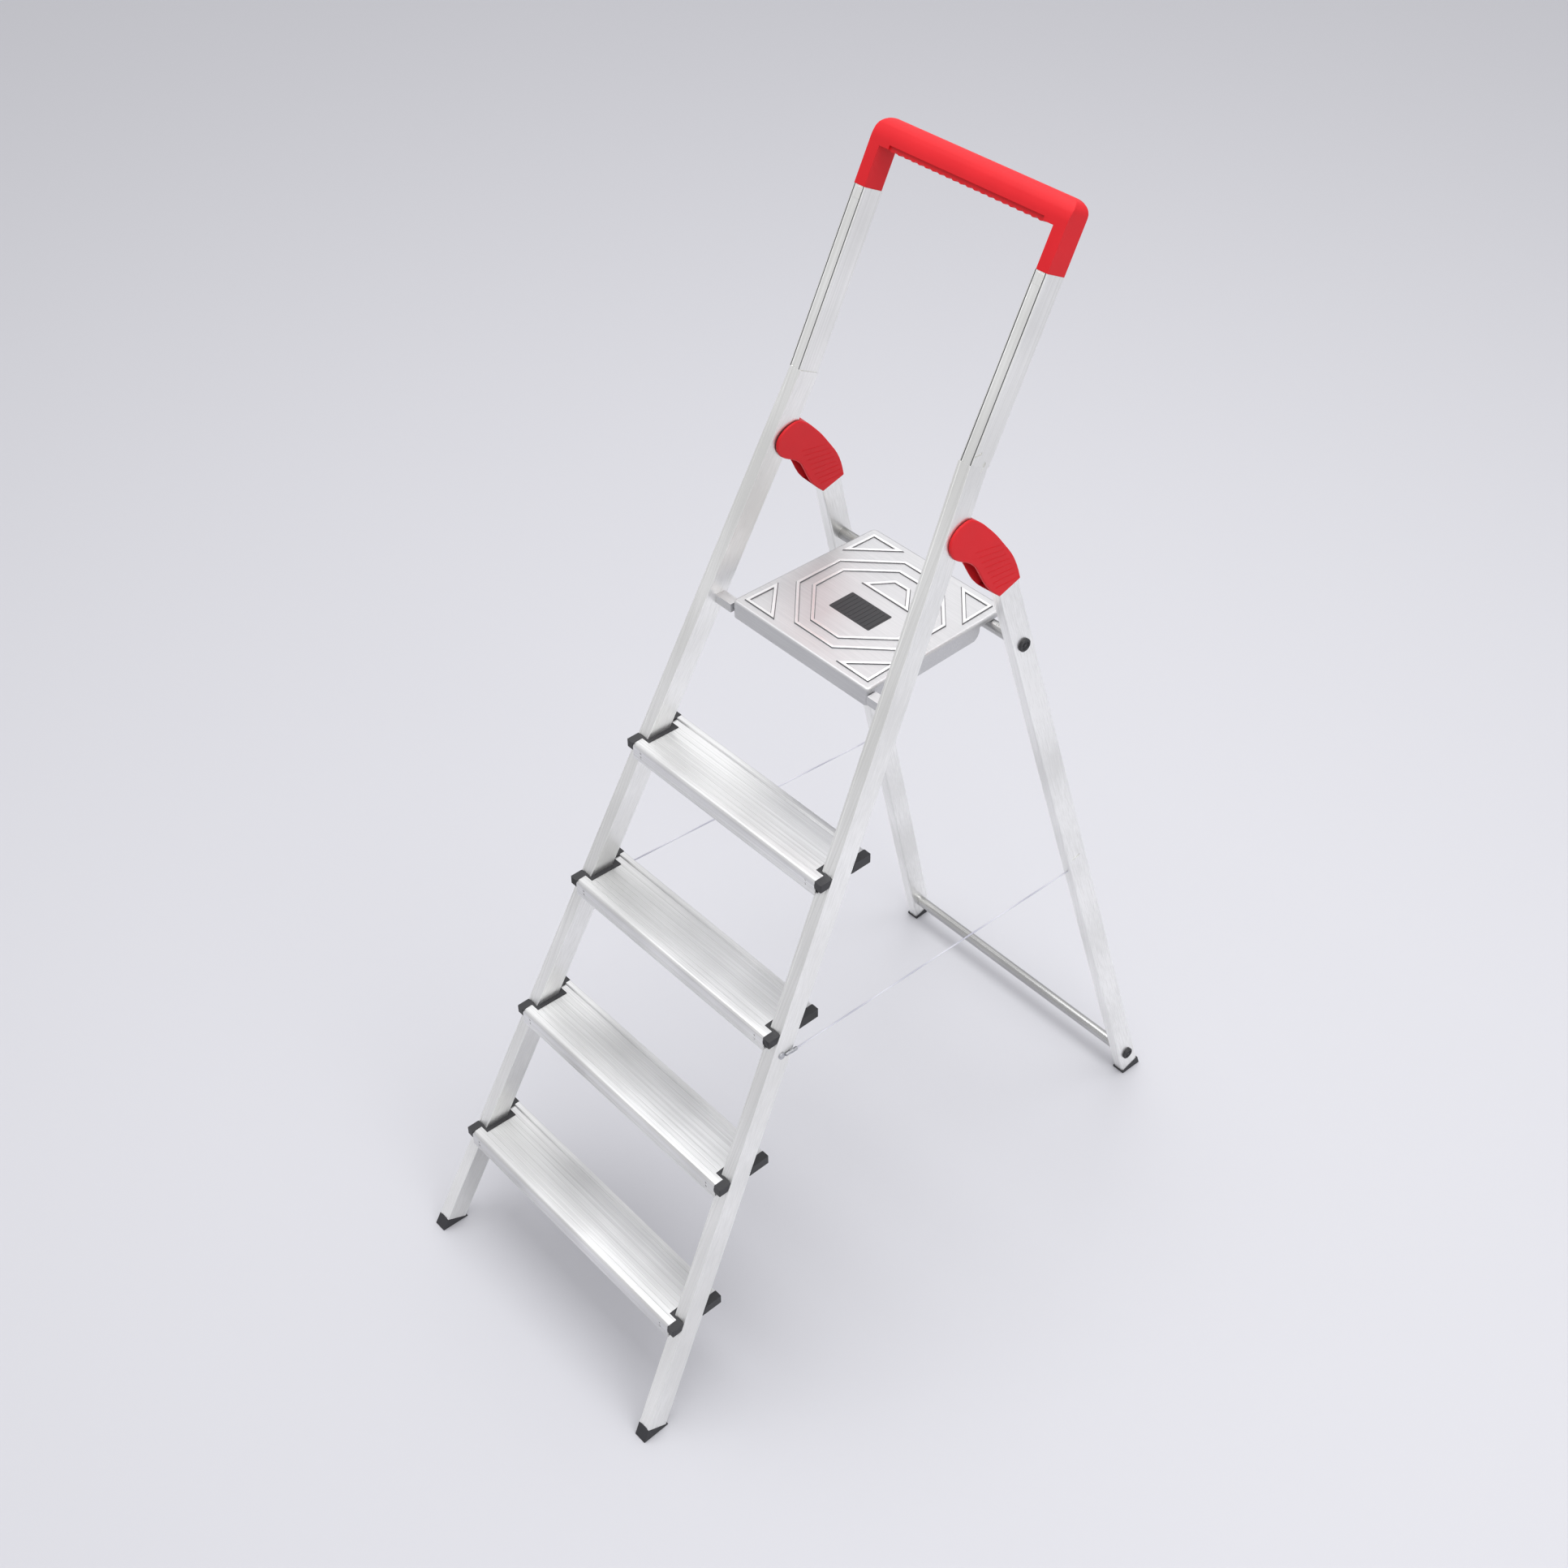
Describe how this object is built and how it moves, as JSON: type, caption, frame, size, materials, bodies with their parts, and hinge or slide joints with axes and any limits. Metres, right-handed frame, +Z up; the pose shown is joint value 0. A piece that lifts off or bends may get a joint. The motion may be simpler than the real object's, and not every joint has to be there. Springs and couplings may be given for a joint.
{
  "type": "step ladder",
  "caption": "Free-standing folding aluminium step ladder with flat treads, a platform, a guard rail and a red grab handle, shown open.",
  "frame": {"origin": "centre of the floor area under the open ladder, on the floor", "axes": "+Z up, +Y from the treads to the rear legs, +X across to the climber's right"},
  "size_m": [0.527, 1.0852, 1.6209],
  "materials": {
    "black_plastic": "moulded black",
    "black_rubber": "moulded black",
    "bright_tube": "bright drawn tube",
    "cord_sheath": "thin pale sheathed cord",
    "pressed_sheet": "pressed sheet, bright",
    "red_plastic": "smooth moulded red",
    "satin_aluminium": "satin, drawn lengthwise",
    "steel_hardware": "zinc plated"
  },
  "bodies": {
    "front_frame": {"boot_left": "black_rubber", "boot_right": "black_rubber", "cord_eye_left": "steel_hardware", "cord_eye_right": "steel_hardware", "cord_rivet_left": "steel_hardware", "cord_rivet_right": "steel_hardware", "end_cap_1_left": "black_plastic", "end_cap_1_right": "black_plastic", "end_cap_2_left": "black_plastic", "end_cap_2_right": "black_plastic", "end_cap_3_left": "black_plastic", "end_cap_3_right": "black_plastic", "end_cap_4_left": "black_plastic", "end_cap_4_right": "black_plastic", "guard_rail_left": "satin_aluminium", "guard_rail_right": "satin_aluminium", "handle": "red_plastic", "hinge_lug_left": "steel_hardware", "hinge_lug_right": "steel_hardware", "hinge_pin_left": "steel_hardware", "hinge_pin_right": "steel_hardware", "pivot_pin_left": "steel_hardware", "pivot_pin_right": "steel_hardware", "rail_sleeve_left": "satin_aluminium", "rail_sleeve_right": "satin_aluminium", "stay_cord_left": "cord_sheath", "stay_cord_right": "cord_sheath", "stile_left": "satin_aluminium", "stile_right": "satin_aluminium", "tread_1": "satin_aluminium", "tread_2": "satin_aluminium", "tread_3": "satin_aluminium", "tread_4": "satin_aluminium"},
    "rear_frame": {"cord_crimp_left": "steel_hardware", "cord_crimp_right": "steel_hardware", "hinge_cap_left": "red_plastic", "hinge_cap_right": "red_plastic", "lower_cross_tube": "bright_tube", "lower_tube_plug_left": "black_plastic", "lower_tube_plug_right": "black_plastic", "rear_foot_left": "black_rubber", "rear_foot_right": "black_rubber", "rear_leg_left": "satin_aluminium", "rear_leg_right": "satin_aluminium", "upper_cross_tube": "bright_tube", "upper_tube_plug_left": "black_plastic", "upper_tube_plug_right": "black_plastic"},
    "platform": {"deck": "pressed_sheet", "deck_insert": "black_plastic", "saddle_left": "black_plastic", "saddle_right": "black_plastic"}
  },
  "joints": [
    {"name": "rear_fold", "type": "hinge", "parent": "front_frame", "child": "rear_frame", "pos_m": [0, 0.10933, 1.22817], "axis": [-1, 0, 0], "range_deg": [0, 41.8], "deforming": ["stay_cord_left", "stay_cord_right"]},
    {"name": "platform_fold", "type": "hinge", "parent": "front_frame", "child": "platform", "pos_m": [0, 0.00325, 1.015], "axis": [1, 0, 0], "range_deg": [0, 62]}
  ],
  "couplings": [
    {"joint": "platform_fold", "follows": "rear_fold", "ratio": 1.4832}
  ]
}
